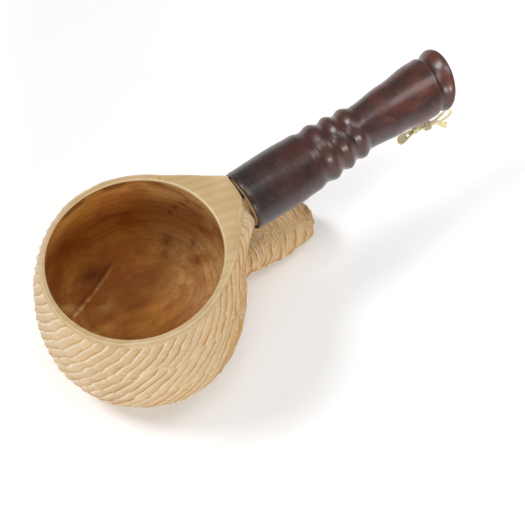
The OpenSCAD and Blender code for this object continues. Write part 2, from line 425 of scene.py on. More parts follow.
def leather_cut():
    """The leather's cut end: dark, dull and fibrous, with golden flecks."""
    s = Shader("leather_cut")
    fleck = s.noise(0.55, 4.0, 0.7, 0.4, (1, 1, 1), (2, 6, 5))
    fibre = s.noise(2.5, 3.0, 0.6, 0.2)
    flecks = [(0.46, (0.020, 0.010, 0.005)), (0.56, (0.17, 0.085, 0.018)), (0.66, (0.30, 0.16, 0.035))]
    colour = s.ramp(fleck, flecks)
    colour = s.mix(s.ramp(fibre, [(0.4, 0.5), (0.6, 0.0)]), colour, (0.014, 0.007, 0.004))
    return s.finish(colour, 0.85, s.bump(fibre, 0.00012, 0.8), Specular_IOR_Level=0.05)


def rawhide():
    """Pale yellow rawhide with a waxy surface and darker stains."""
    s = Shader("rawhide_lace")
    painted_shade_and_notch = s.noise(0.5, 3.0, 0.6, 0.3)
    grain = s.noise(3.5, 3.0, 0.6)
    stains = [(0.34, (0.90, 0.76, 0.36)), (0.5, (0.96, 0.90, 0.58)), (0.64, (0.97, 0.94, 0.76))]
    colour = s.ramp(painted_shade_and_notch, stains)
    colour = s.mix(s.ramp(grain, [(0.4, 0.2), (0.6, 0.0)]), colour, (0.74, 0.55, 0.20))
    # Painted shade on the knot's core and in the tab's hole and slit.
    colour = s.mix(s.mark("painted_hollow_shade"), colour, (0.26, 0.15, 0.03))
    return s.finish(colour, 0.42, s.bump(grain, 0.00006, 0.6), Subsurface_Weight=0.08, Subsurface_Scale=0.001)


def antler():
    """Tan antler bead with long streaks and a satin surface."""
    s = Shader("antler_bead")
    streak = s.noise(1.2, 4.0, 0.6, 0.4, (0.3, 1, 1))
    dots = s.noise(4.0, 2.0, 0.5)
    streaks = [(0.35, (0.42, 0.30, 0.16)), (0.5, (0.58, 0.46, 0.28)), (0.66, (0.72, 0.62, 0.43))]
    colour = s.ramp(streak, streaks)
    colour = s.mix(s.ramp(dots, [(0.62, 0.0), (0.72, 0.5)]), colour, (0.25, 0.15, 0.07))
    return s.finish(colour, 0.36, s.bump(streak, 0.00005, 0.6))


def thread():
    """Waxed linen thread, with its twist as fine slanted lines."""
    s = Shader("linen_thread")
    bands = {"wave_type": "BANDS", "bands_direction": "DIAGONAL"}
    place = {"Vector": s.mm.outputs[0], "Scale": 1.6, "Distortion": 1.0}
    twist = s.add("ShaderNodeTexWave", bands, place).outputs["Fac"]
    colour = s.ramp(twist, [(0.2, (0.30, 0.21, 0.11)), (0.7, (0.58, 0.46, 0.29))])
    return s.finish(colour, 0.6, s.bump(twist, 0.00008, 0.8))


# ---- camera and lace


def make_camera():
    """Camera at the viewing angle: from in front and to the left, 64 degrees above the table."""
    data = bpy.data.cameras.new("camera")
    data.lens = 135.8
    data.sensor_width = 36.0
    data.clip_start, data.clip_end = 0.05, 20.0
    cam = bpy.data.objects.new("camera", data)
    bpy.context.scene.collection.objects.link(cam)
    turn, rise, roll = -32.3, 64.4, -2.9
    (turn_c, turn_s), (rise_c, rise_s), (roll_c, roll_s) = map(cos_sin, (turn, rise, roll))
    ahead = Vector((-turn_s * rise_c, turn_c * rise_c, -rise_s))
    level = Vector((turn_c, turn_s, 0))
    below = ahead.cross(level)
    right = roll_c * level - roll_s * below
    down = roll_s * level + roll_c * below
    place = Matrix((right, -down, -ahead)).transposed().to_4x4()
    place.translation = Vector((-0.16398, -0.36957, 0.90095))
    cam.matrix_world = place
    bpy.context.scene.camera = cam


def strand(name, route, mat, seed):
    """One strand of the lace, from its hole in the leather to the knot."""
    path = smooth_path(route + [tuple(0.5 * (a + b) for a, b in zip(route[-1], KNOT_AT))], 6)
    verts, faces = tube(path, LACE_D, LACE_D * 0.82, turn=2.2, swell=0.07, seed=seed)
    obj = mesh_object(name, verts, faces, [mat], marks={"painted_hollow_shade": np.zeros(len(verts))})
    return obj, path


def make_knot(mat):
    """Nearly two and a half turns of the lace round itself, where the strands meet."""
    turns, coil_r, coil_len, tuck = 2.4, 1.45, 3.0, 0.75
    along = np.array([*cos_sin(LACE_TURN), 0])
    up = np.array([0, 0, 1.0])
    side = np.cross(up, along)
    t = np.linspace(0, 1, 60)
    a = 2 * np.pi * turns * t + 0.6
    reach = coil_r - tuck * ease((t - 0.9) / 0.1) - tuck * ease((0.1 - t) / 0.1)
    coil = np.array(KNOT_AT) + np.outer(coil_len * (t - 0.5), along)
    coil += (reach * np.cos(a))[:, None] * side + (reach * np.sin(a))[:, None] * up
    core = np.array(KNOT_AT) + np.outer(np.linspace(-2.1, 2.0, 12), along)
    parts = [tube(coil, 1.3, 1.5, swell=0.1, seed=3.0), tube(core, 2.0, 1.4, swell=0.1, seed=4.0)]
    verts, faces = merge(parts)
    # The core between the turns is all painted shade.
    deep = np.concatenate([np.zeros(len(parts[0][0])), np.full(len(parts[1][0]), 1.0)])
    obj = mesh_object("lace_knot", verts, faces, [mat], marks={"painted_hollow_shade": deep})
    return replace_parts(obj, "thong_knot")


def tab_edge(angle):
    """Distance from the tab's hole to its edge, by angle."""
    low, high = np.zeros_like(angle), np.full_like(angle, 12.0)
    for _ in range(30):
        mid = (low + high) / 2
        x, y = HOLE_AT + mid * np.cos(angle), np.abs(mid * np.sin(angle))
        t = np.clip((x - TAB_START) / TAB_LEN, 0, 1)
        half = TAB_HALF[0] + (TAB_HALF[1] - TAB_HALF[0]) * t
        inside = np.hypot(x - (TAB_START + TAB_LEN * t), y) < half
        low, high = np.where(inside, mid, low), np.where(inside, high, mid)
    return low


def make_tab(mat):
    """The flat end of the lace, with its hole and the slit from the hole to the knot."""
    n, hole = 72, 0.8
    a = 2 * np.pi * np.arange(n) / n
    edge = tab_edge(a)
    rows, marks = [], []
    section = [(0.0, -0.2), (0.0, 0.25), (0.04, 0.55)]
    section += [(t, 0.62 + 0.1 * math.sin(math.pi * t)) for t in np.linspace(0.12, 0.86, 7)]
    section += [(0.94, 0.52), (0.985, 0.3), (1.0, 0.0), (0.985, -0.3), (0.94, -0.52)]
    section += [(t, -0.6) for t in np.linspace(0.86, 0.12, 6)] + [(0.04, -0.52)]
    for share, height in section:
        reach = hole + (edge - hole) * share
        x, y = HOLE_AT + reach * np.cos(a), reach * np.sin(a)
        slit = bell(y, 0.22) * (x < 4.6) * (height > 0)
        z = height - 0.4 * slit - 0.012 * (x - HOLE_AT) ** 2 + 0.03 * y * y
        rows.append(np.stack([x, y, z + 0.06 * noise(x * 0.9, y * 0.9, 2.0)], -1))
        # Painted shade round the hole and in the slit.
        marks.append(np.maximum(slit, 0.9 * (share == 0.0)))
    local = np.vstack(rows)
    turn = Matrix.Rotation(math.radians(175), 3, "Z") @ Matrix.Rotation(math.radians(22), 3, "Y")
    verts = local @ np.array(turn).T + np.array(KNOT_AT)
    faces = ring_faces(len(rows), n)
    obj = mesh_object("lace_tab", verts, faces, [mat], marks={"painted_hollow_shade": np.concatenate(marks)})
    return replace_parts(obj, "thong_tab")


def make_tails(mat):
    """The two cut ends of the lace, which spread a little where they are cut."""
    verts, faces = merge([
        tube(smooth_path(route, 8), 1.7, 1.1, turn=0.9, swell=0.1, seed=seed)
        for route, seed in ((TAIL_NEAR, 6.0), (TAIL_FAR, 7.0))
    ])
    obj = mesh_object("lace_tails", verts, faces, [mat], marks={"painted_hollow_shade": np.zeros(len(verts))})
    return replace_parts(obj, "thong_tails")


def make_bead(mat):
    """Barrel bead with a wide hole, turned from antler."""
    n = 72
    a = 2 * np.pi * np.arange(n) / n
    section = [(1.9, -1.3), (1.98, -1.55), (2.12, -1.68), (2.35, -1.66), (2.52, -1.5)]
    section += [(2.56 + 0.24 * math.cos(math.pi * t / 2.7), 1.35 * t) for t in np.linspace(-1, 1, 11)]
    section += [(2.52, 1.5), (2.35, 1.66), (2.12, 1.68), (1.98, 1.55), (1.9, 1.3)]
    rows = []
    for r, x in section:
        wob = 1 + 0.012 * noise(3 + 2 * np.cos(a), 3 + 2 * np.sin(a), 7.0)
        rows.append(np.stack([np.full(n, x), r * wob * np.cos(a), r * wob * np.sin(a)], -1))
    turn = np.array(Matrix.Rotation(math.radians(LACE_TURN), 3, "Z"))
    verts = np.vstack(rows) @ turn.T + np.array(BEAD_AT)
    faces = ring_faces(len(rows), n)
    obj = mesh_object("lace_bead", verts, faces, [mat], body="bead")
    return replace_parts(obj, "thong_bead")


def make_lace(mat, bead_mat):
    """The two strands, with the knot, the flat end, the cut ends and the bead."""
    pieces = [make_knot(mat), make_tab(mat), make_tails(mat), make_bead(bead_mat)]
    for name, node, route, seed in (
        ("lace_near", "thong_strand_near", STRAND_NEAR, 1.0),
        ("lace_far", "thong_strand_far", STRAND_FAR, 5.0),
    ):
        obj, path = strand(name, route, mat, seed)
        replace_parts(obj, node)


# ---- cup


def wall_radius(z):
    """Outer radius of the bowl at a height."""
    up = BELLY_R - (BELLY_R - RIM_R) * ((z - BELLY_Z) / (CUP_H - BELLY_Z)) ** 2
    c = np.clip(1 - z / BELLY_Z, 0, 1) ** 1.25
    low = BASE_R + (BELLY_R - BASE_R) * np.sqrt(np.clip(1 - c * c, 0, 1)) ** 0.8
    return np.where(z >= BELLY_Z, up, low)


def contour(angle, z):
    """Outer radius of the bowl and neck together, by angle and height."""
    r = wall_radius(z)
    end = r + (NECK_X - r) * ease((z - NECK_LOW) / NECK_RISE)
    h = z - AXIS_Z
    power = np.where((angle > 0) & (h > 0), 3.0, 2.0)
    side_r = np.where(angle > 0, NECK_R, NECK_R - 1.0)
    half = side_r * np.clip(1 - (np.abs(h) / NECK_R) ** power, 0, 1) ** (1 / power)
    far, corner = np.hypot(end, half), np.arctan2(half, end)
    side = np.abs(angle)
    touch = corner + np.arccos(np.clip(r / far, 0, 1))
    out = np.where(side < touch, r / np.cos(side - touch), r)
    out = np.where(side < corner, end / np.cos(side), out)
    return np.maximum(out, r)


# Outer edge of the rim and deck, as [degrees round the cup, radius]. The deck is broad by the
# mouth, narrows to the neck, and its far edge is straight.
RIM_EDGE = [
    [-180, 44.4], [-160, 44.6], [-140, 44.0], [-120, 43.1], [-95, 42.9], [-75, 43.1], [-58, 43.5],
    [-47, 44.3], [-38, 46.0], [-30, 47.5], [-19, 49.9], [-11, 52.6], [-6, 55.3], [-2.6, 58.4],
    [0, 58.8], [10.5, 59.8], [54, 43.6], [70, 42.8], [90, 42.5], [115, 42.6], [140, 43.2], [160, 43.9],
    [180, 44.4],
]
# Ends of the deck's straight far edge, in degrees round the cup, and its distance from the axis
FAR_EDGE = (10.5, 53.4)
FAR_AWAY = 43.6


def rim_edge(angle):
    """Radius of the outer edge of the rim and deck."""
    degrees = np.degrees(angle)
    table = np.array(RIM_EDGE)
    edge = np.interp(degrees, table[:, 0], table[:, 1])
    first, last = FAR_EDGE
    line = FAR_AWAY / np.cos(np.radians(np.clip(degrees, first, last) - last))
    return np.where((degrees > first) & (degrees < last), line, edge)


def mouth_edge(angle):
    """Radius of the mouth, a little longer along the handle, with a carver's unevenness."""
    a, b = 42.0, 40.3
    r = a * b / np.sqrt((b * np.cos(angle)) ** 2 + (a * np.sin(angle)) ** 2)
    return r + 0.22 * np.sin(3 * angle + 1.0)


# Slope of the gouge cuts against the level, as [degrees round the cup, degrees]
CUT_SLOPE = [
    [-180, 60], [-150, 57], [-110, 52], [-80, 47], [-50, 48], [-32, 58], [-18, 74], [0, 90],
    [30, 100], [60, 96], [100, 84], [140, 70], [180, 60],
]
# Width of a cut's lane, and where the rows of cuts begin and end, down the wall from the rim
CUT_WIDTH = 4.9
CUT_ROWS = [2.0, 22.0, 43.0, 63.0, 80.0, 96.0]
# Angles at which the cup's outline is measured, one each quarter of a degree
OUTLINE_POINTS = 1441


def outline(angle):
    """Length of the cup's outline at the neck's height, up to each angle."""
    reach = 1.05 * contour(angle, 70.0)
    step = np.hypot(np.diff(reach), reach[1:] * np.diff(angle))
    return np.concatenate([[0], np.cumsum(step)])


def lane_number(angle, slide):
    """Lane of each point, counted round the cup, when the lanes have slid along their slope.

    slide is the way down from the row's upper edge over the cup's radius, by row of the grid.
    """
    table = np.radians(np.array(CUT_SLOPE, float))
    start = np.linspace(-np.pi, np.pi, OUTLINE_POINTS)
    slope = np.interp(start, table[:, 0], table[:, 1])
    count = np.concatenate([[0], np.cumsum(np.sin(slope[1:]) * np.diff(outline(start)))]) / CUT_WIDTH
    count *= round(count[-1]) / count[-1]
    lanes = count[-1]
    out = np.empty((len(slide), len(angle)))
    for j, way in enumerate(slide):
        now = start - way / np.tan(slope)
        place = np.concatenate([now[:-1] - 2 * np.pi, now[:-1], now[:-1] + 2 * np.pi])
        number = np.concatenate([count[:-1] - lanes, count[:-1], count[:-1] + lanes])
        out[j] = np.interp(angle, np.maximum.accumulate(place), number)
    return out, int(round(lanes))


def gouge_field(angle, run, radius):
    """Depth of the gouge cuts over a grid, and where each point lies across its cut, -1 to 1.

    angle is by column, run is the way down the wall by row, and radius is by row. The cuts lie
    side by side in lanes, in rows whose ends stagger.
    """
    rng = np.random.RandomState(11)
    stagger, overlap, foot_len = 0.37, 6.0, 9
    table = np.radians(np.array(CUT_SLOPE, float))
    slope = np.interp(angle, table[:, 0], table[:, 1])
    depth = np.full((len(run), len(angle)), -1.0)
    across = np.zeros_like(depth)
    turn = angle[None, :] + 0 * run[:, None]
    rough = ease((np.abs(turn) - 2.4) / 0.4)
    for m, top in enumerate(CUT_ROWS[:-1]):
        edge = []
        for row in (m, m + 1):
            uneven = 4.5 * noise(angle * 4.5, 0 * angle + 3.0 * row, 9.0 + row)
            at_neck = -1.6 * ease(1 - np.abs(angle + 0.35) / 0.4)
            edge.append(CUT_ROWS[row] + (uneven if row else at_neck))
        slide = (run - top) / np.maximum(radius, 40.0)
        lane, lanes = lane_number(angle, slide)
        lane = lane + stagger * m
        along = (run[:, None] - edge[0][None, :]) / np.sin(slope)[None, :]
        length = (edge[1] - edge[0])[None, :] / np.sin(slope)[None, :] + overlap
        lane = lane + 0.15 * noise(along / 7.0, lane * 0.6, 3.0 + m)
        lane = lane + 0.05 * noise(along / 2.8, lane * 0.9, 5.0 + m)
        shift = rng.uniform(-2.0, 2.0, lanes + 3) * (0.35 if m == 0 else 1.0)
        aside = rng.uniform(-0.07, 0.07, lanes + 3)
        wide = rng.uniform(1.10, 1.24, lanes + 3)
        deep = rng.uniform(0.85, 1.15, lanes + 3)
        blunt = 4.5 if m else 2.6
        for step in (-1, 0, 1):
            number = np.floor(lane).astype(int) + step
            k = number % lanes
            b = 2 * (lane - number - 0.5 - aside[k]) / wide[k]
            a = along - shift[k]
            head = np.clip((blunt - a) / blunt, 0, None)
            foot = np.clip((a - (length - foot_len)) / foot_len, 0, None)
            ripple = 0.04 * (1 - rough) * np.sin(a * 1.7 + 1.2 * np.sin(b) + 3 * k)
            cut = 1 - b**2 - head**2 - foot**2
            cut = np.where(cut > 0, deep[k] * cut * (1 - 0.38 * rough + ripple), cut)
            better = cut > depth
            depth = np.where(better, cut, depth)
            across = np.where(better, b, across)
    return np.clip(depth, 0, None), np.where(depth > 0, across, 0)


def soften(field, weight, times):
    """Blurs a grid that closes on itself sideways, where weight is 1."""
    for _ in range(times):
        wide = (np.roll(field, 1, 1) + np.roll(field, -1, 1) + 2 * field) / 4
        tall = np.vstack([field[:1], (field[:-2] + field[2:] + 2 * wide[1:-1]) / 4, field[-1:]])
        field = field + weight * (tall - field)
    return field


# Height over which the wall runs out to the rim's edge, as [degrees round the cup, millimetres]
EDGE_DROP = [
    [-180, 10], [-45, 9], [-19, 8], [-13, 10.5], [-10.5, 11], [-8, 8], [-5, 4.4], [-2.5, 2.6], [12, 2.6],
    [30, 8], [60, 10], [180, 10],
]


def shoulder(angle):
    """1 where the deck rounds over to the near side of the neck, 0 elsewhere."""
    return ease(1.6 - np.abs(angle + 0.30) / 0.26)


def bowl_grid(cols):
    """The bowl's wall by angle and height, and its marks: cuts with painted shade in them and on one side of
    each, and painted highlight on their other side by the ridges.
    """
    even = np.linspace(-np.pi, np.pi, OUTLINE_POINTS)
    way = outline(even)
    angle = np.interp(way[-1] * np.arange(cols) / cols, way, even)
    fine = np.linspace(0, CUP_H, 2000)
    arc = np.concatenate([[0], np.cumsum(np.hypot(np.diff(fine), np.diff(wall_radius(fine))))])
    rows = np.linspace(0, arc[-1], 230)
    z = np.interp(rows, arc, fine)
    run = arc[-1] - rows
    high = z[:, None] + 0 * angle[None, :]
    wide = angle[None, :] + 0 * high
    drop = np.interp(np.degrees(angle), *np.array(EDGE_DROP).T)[None, :]
    r = contour(wide, high)
    top = contour(wide, np.full_like(high, CUP_H))
    r = r + (rim_edge(wide) - top) * np.clip(1 - (CUP_H - high) / drop, 0, 1) ** 1.7
    r = r - 1.3 * ease(1 - np.abs(wide + 0.85) / 0.8) * ease((70 - high) / 30)
    soft = ease((56 - high) / 6) * ease((high - 30) / 6) * ease((1.0 - np.abs(wide)) / 0.2)
    r = soften(r, soft, 40)
    cut, across = gouge_field(angle, run, wall_radius(z))
    keep = ease((high - 0.6) / 4) * ease((NECK_X - 0.4 - r * np.cos(wide)) / 1.2)
    below = ease((run - 0.4) / 1.6)[:, None] * keep
    steep = ease(1 - np.abs(wide + 0.75) / 0.8)
    cut = cut * keep * (1 + 0.35 * steep)
    r = r + 0.4 * ease(run / 6)[:, None] * keep - 1.25 * cut
    r = r - 0.6 * shoulder(angle) * np.clip(1 - run / 1.6, 0, 1)[:, None] ** 2
    r = r + 0.2 * noise(wide * 6, high * 0.09, 3.0) * keep
    # Painted shade on the side of each cut turned from the light, and painted highlight on the side turned to
    # it, by the ridge.
    dark = bell(across - 0.74, 0.22) + 0.40 * np.clip(across, 0, 1)
    dark = dark * (0.75 + 0.35 * noise(wide * 11, high * 0.25, 6.0)) * below * (1 + 0.3 * steep)
    pale = bell(across + 0.78, 0.24) * (0.8 + 0.3 * noise(wide * 9, high * 0.2, 8.0))
    pale = pale + 0.40 * np.clip(-across, 0, 1) * (0.8 + 0.6 * noise(wide * 14, high * 0.12, 18.0))
    pale = pale * below * (1 + 0.35 * steep)
    return angle, high, r, {"painted_hollow_shade": np.clip(cut, 0, 1), "painted_shade_and_notch": dark, "wear_and_highlight": 0.85 * pale}


# The pale crack in the bottom, the pale wedges beside it as [x, y, size], the round stains as
# [x, y, size], and the row of dark pits that climbs the wall as [x, y, z]
CRACK = [(5.7, 33), (0.5, 30.8), (-6.2, 28), (-13, 25), (-18.6, 23), (-25, 20.4), (-30, 18)]
WEDGES = [(-28.5, 24.5, 4.5), (-13, 17.5, 4.5)]
STAINS = [(36, 7.5, 2.1), (39, 15, 1.6), (30, 25, 2.8), (26, 21.6, 1.9)]
PITS = [(36, 29, 37.5), (37.6, 26.3, 45), (39.6, 22.4, 52), (40.6, 18.7, 60)]


def crack_line(x, y):
    """Distance from the pale crack in the bottom, and the share of the way along it."""
    line = np.array(CRACK)
    best, share = np.full(x.shape, 99.0), np.zeros(x.shape)
    for i in range(len(line) - 1):
        way = line[i + 1] - line[i]
        t = np.clip(((x - line[i, 0]) * way[0] + (y - line[i, 1]) * way[1]) / (way @ way), 0, 1)
        away = np.hypot(x - line[i, 0] - t * way[0], y - line[i, 1] - t * way[1])
        share = np.where(away < best, (i + t) / (len(line) - 1), share)
        best = np.minimum(away, best)
    return best, share


def inside_marks(x, y, z):
    """Pale figure, dark stains and pits, a darker band at the top of the far wall, painted shade on the near
    side, and a paler wall of the oiled inside, by place.
    """
    low = ease((30 - z) / 8)
    away, share = crack_line(x, y)
    wavy = 0.5 * noise(x * 0.5, y * 0.5, 2.0)
    ends = ease(share / 0.75) * ease((1 - share) / 0.1 + 0.3)
    figure = bell(away + wavy, 0.52) * ends * low
    figure = figure * np.clip(0.70 + 0.6 * noise(share * 7, 0 * share, 15.0), 0.2, 1)
    wedge = sum(bell(np.hypot(x - wx, y - wy), size) for wx, wy, size in WEDGES)
    figure = figure + 0.5 * wedge * low * ease(noise(x * 0.16, y * 0.3, 7.0) * 2 + 0.8)
    dark = bell(np.hypot((x + 9) * 0.4, (y - 32) * 0.9), 3.4) * (away > 0.8) * low
    dark = dark + 0.6 * bell(away - 1.6, 0.9) * ease(share / 0.3) * low * (y > 0.42 * x + 30.3)
    for sx, sy, size in STAINS:
        dark = dark + 0.7 * np.exp(-(((x - sx) ** 2 + (y - sy) ** 2) / size**2)) * low
    for sx, sy, sz in PITS:
        dark = dark + 0.9 * np.exp(-(((x - sx) ** 2 + (y - sy) ** 2 + (z - sz) ** 2) / 2.4))
    # A darker band near the top of the far wall.
    band = ease((z - 64) / 6) * ease((noise(np.arctan2(y, x) * 4, z * 0.08, 4.0) + 0.25) * 2)
    dark = dark + 0.75 * band * ease((y - 14) / 10)
    # Painted shade on the near side.
    dark = dark + 0.50 * ease((6 - y) / 26)
    pale = 0.95 * ease((x - 0.20 * y - 8) / 32) + 0.16 * ease((-x - 18) / 16)
    pale = pale * (1 + 0.35 * noise(x * 0.09, y * 0.09 + z * 0.05, 12.0))
    return np.clip(figure, 0, 1), np.clip(dark, 0, 1), np.clip(pale, 0, 1)


def make_cup_bowl(cols=720):
    """Bowl, deck and neck as one closed grid."""
    angle, high, r, wall = bowl_grid(cols)
    ca, sa = np.cos(angle), np.sin(angle)
    rows, inner = [], []
    marks = {key: [] for key in ("painted_hollow_shade", "wear_and_highlight", "lip", "painted_shade_and_notch", "planed", "figure", "dark", "pale")}

    def add(radius, height, inside=0, **given):
        x, y, z = radius * ca, radius * sa, height + 0 * ca
        rows.append(np.stack([x, y, z], -1))
        inner.append(inside)
        if inside:
            given["figure"], given["dark"], given["pale"] = inside_marks(x, y, z)
        for key, values in marks.items():
            values.append(given.get(key, 0.0) + 0 * ca)

    # The bottom, with painted shade under it.
    for share in np.linspace(0.02, 0.97, 10):
        add(share * r[0], 0.35 * (1 - ease((share - 0.8) / 0.15)), painted_hollow_shade=0.2)
    for j in range(len(high) - 1):
        given = {key: values[j] for key, values in wall.items()}
        add(r[j], high[j] if j else 0 * ca, planed=0.7 * ease((high[j] - 75) / 2), **given)
    edge, mouth = r[-1], mouth_edge(angle)
    bevel = 0.45 + 0.40 * ease((1.25 - np.abs(angle + 0.1)) / 0.4)
    plane = CUP_H - 0.1
    round_over = 0.30 * shoulder(angle)
    # Painted highlight along the deck's outer edge, left off at the neck's shoulder.
    crest = 0.35 - 0.35 * shoulder(angle)
    add(edge - 0.08, plane - 0.18 - round_over, planed=1.0, wear_and_highlight=crest)
    add(edge - 0.35, plane - round_over, planed=1.0, wear_and_highlight=crest)
    crack_at, crack_r, crack_wide, crack_end = 0.71, 43, 0.55, 47
    crack = bell((angle - crack_at) * crack_r, crack_wide)
    for share in np.linspace(0.04, 0.97, 22):
        radius = edge - 0.35 + (mouth + bevel + 0.35 - edge) * share
        wavy = 0.07 * noise(radius * ca * 0.12, radius * sa * 0.35, 5.0)
        wavy = wavy - 0.30 * shoulder(angle) * np.exp(-(edge - radius) / 1.1)
        notch = crack * np.clip((crack_end - radius) / 2, 0, 1)
        # The notch across the deck is sunk and darkened.
        add(radius, plane + wavy - 0.35 * notch, planed=1.0, painted_shade_and_notch=1.2 * notch)
    # Painted highlight along the mouth's inner edge.
    add(mouth + bevel, plane - 0.05, planed=1.0, wear_and_highlight=0.5)
    add(mouth + bevel * 0.8, plane - 0.2 * bevel, planed=1.0, wear_and_highlight=0.4)
    add(mouth + bevel * 0.35, plane - 0.75 * bevel, 1, lip=0.9)
    add(mouth, plane - 1.5 * bevel, 1, lip=0.55)
    for u in np.linspace(0.955, 0.0, 52):
        z = HOLLOW_Z + (CUP_H - HOLLOW_Z) * u
        radius = INNER_R + (mouth - INNER_R) * u * u
        wob = 0.08 * noise(angle * 3, 0 * angle + z * 0.2, 8.0) * np.abs(np.sin(angle / 2 + 1.0))
        add(radius + wob, z, 1, lip=0.3 * float(ease((u - 0.93) / 0.04)))
    for t in np.linspace(88.8, 1.2, 80):
        c, s = (v**0.8 for v in cos_sin(t))
        add(INNER_R * s, HOLLOW_Z - (HOLLOW_Z - FLOOR_T) * c, 1)
    n = len(rows)
    faces = grid_faces(n, cols)
    slots = [1 if inner[j] and inner[j + 1] else 0 for j in range(n - 1) for _ in range(cols)]
    faces.append(tuple(range(cols))[::-1])
    faces.append(tuple(range((n - 1) * cols, n * cols)))
    return np.vstack(rows), faces, slots + [0, 1], {k: np.concatenate(v) for k, v in marks.items()}


def heel_points(cols):
    """Rows of points of the heel: a fillet from the bowl's wall, the thumb and its round end."""
    a = 2 * np.pi * np.arange(cols) / cols
    ca, sa = np.cos(a), np.sin(a)

    def on_bowl(radius, sunk):
        y, z = radius * ca, np.clip(HEEL_R + radius * sa, 0.12, None)
        return np.sqrt(np.maximum(wall_radius(z) ** 2 - y**2, 1.0)) - sunk, y, z

    neck, fillet = 10.9, 6.5
    swell_from, swell_len = 56, 22
    ax, ay, az = on_bowl(neck + fillet * 0.9, 0.7)
    kx, ky, kz = on_bowl(neck, 0.2)
    bx = kx + fillet * 1.2
    rows = []
    for t in np.linspace(0, 1, 22):
        u = 1 - t
        rows.append(np.stack([
            u * u * ax + 2 * u * t * kx + t * t * bx,
            u * u * ay + (1 - u * u) * ky,
            u * u * az + (1 - u * u) * kz,
        ], -1))
    x_end = HEEL_X - HEEL_END
    for t in np.linspace(0, 1, 90)[1:]:
        x = bx + (x_end - bx) * t
        radius = neck + (HEEL_R - neck) * ease((x - swell_from) / swell_len)
        rows.append(np.stack([x, radius * ca, HEEL_R + radius * sa], -1))
    for t in np.linspace(0, 90, 44)[1:-1]:
        c, s = cos_sin(t)
        rows.append(np.stack([x_end + HEEL_END * s + 0 * a, HEEL_R * c * ca, HEEL_R + HEEL_R * c * sa], -1))
    return a, np.array(rows)


def heel_cuts(rows, cols, a, run):
    """Depth of the gouge cuts round the heel, and where each point lies across its cut."""
    rng = np.random.RandomState(5)
    depth, across = np.full((rows, cols), -1.0), np.zeros((rows, cols))
    x0, abreast, mean_r = 1.0, 3, 12.0
    while x0 < run[-1, 0] + 3:
        start = rng.uniform(0, 2 * np.pi)
        for k in range(abreast):
            place = start + k * 2 * np.pi / abreast + rng.uniform(-0.25, 0.25)
            length, half = rng.uniform(27, 33), rng.uniform(1.65, 2.1)
            c, s = cos_sin(rng.uniform(-3, 9) * (1 if math.cos(place) < 0 else -1))
            around = ((a - place + np.pi) % (2 * np.pi) - np.pi)[None, :] * mean_r
            dx = run - x0 - rng.uniform(-0.5, 0.5)
            p, q = around * c + dx * s, dx * c - around * s
            q = q + 0.5 * np.sin(p * 0.33 + 2 * k) + 0.14 * np.sin(p * 1.1 + k)
            tip = np.clip((np.abs(p) - (length / 2 - 4)) / 4, 0, None)
            cut = 1 - (q / half) ** 2 - tip**2
            cut = np.where(cut > 0, cut * rng.uniform(0.85, 1.15) * (1 + 0.06 * np.sin(p * 1.9)), cut)
            across = np.where(cut > depth, q / half, across)
            depth = np.maximum(depth, cut)
        x0 += rng.uniform(2.7, 3.3)
    return np.clip(depth, 0, None), np.where(depth > 0, across, 0)


def make_heel(cols=200):
    """The heel as a closed grid, its root inside the bowl's wall."""
    a, grid = heel_points(cols)
    rows = len(grid)
    step = np.linalg.norm(np.diff(grid, axis=0), axis=2)
    run = np.vstack([np.zeros(cols), np.cumsum(step, 0)])
    cut, across = heel_cuts(rows, cols, a, run)
    du = np.roll(grid, -1, 1) - np.roll(grid, 1, 1)
    dv = np.gradient(grid, axis=0)
    normal = np.cross(du, dv)
    normal /= np.linalg.norm(normal, axis=2)[:, :, None] + 1e-9
    keep = ease((np.arange(rows) - 2) / 10)[:, None] * ease((grid[:, :, 2] - 0.3) / 2.5)
    keep = keep * (0.35 + 0.65 * ease((rows - 1 - np.arange(rows)) / 8)[:, None])
    grid = grid + normal * ((0.5 - 1.65 * cut) * keep)[:, :, None]
    grid[:, :, 2] = np.maximum(grid[:, :, 2], 0.05)
    verts = np.vstack([grid.reshape(-1, 3), [[44.0, 0, 12.0]], [[HEEL_X, 0, HEEL_R]]])
    faces = grid_faces(rows, cols)
    last = (rows - 1) * cols
    root, tip = rows * cols, rows * cols + 1
    faces += [((i + 1) % cols, i, root) for i in range(cols)]
    faces += [(last + i, last + (i + 1) % cols, tip) for i in range(cols)]
    # Painted shade in the cuts and, more lightly, over the whole heel; more painted shade on the side of each
    # cut turned from the light, and painted highlight on the lit side by the ridge.
    dark = 1.1 * (bell(across - 0.72, 0.24) + 0.3 * np.clip(across, 0, 1)) * keep
    marks = {
        "painted_hollow_shade": 0.5 + 1.9 * np.clip(cut, 0, 1) * keep, "painted_shade_and_notch": dark,
        "wear_and_highlight": 0.9 * bell(across + 0.78, 0.22) * keep,
    }
    return verts, faces, {key: np.append(values.ravel(), [0, 0]) for key, values in marks.items()}


def face_outward(obj):
    """Turns the mesh's faces outward."""
    bm = bmesh.new()
    bm.from_mesh(obj.data)
    bmesh.ops.recalc_face_normals(bm, faces=bm.faces)
    bm.to_mesh(obj.data)
    bm.free()


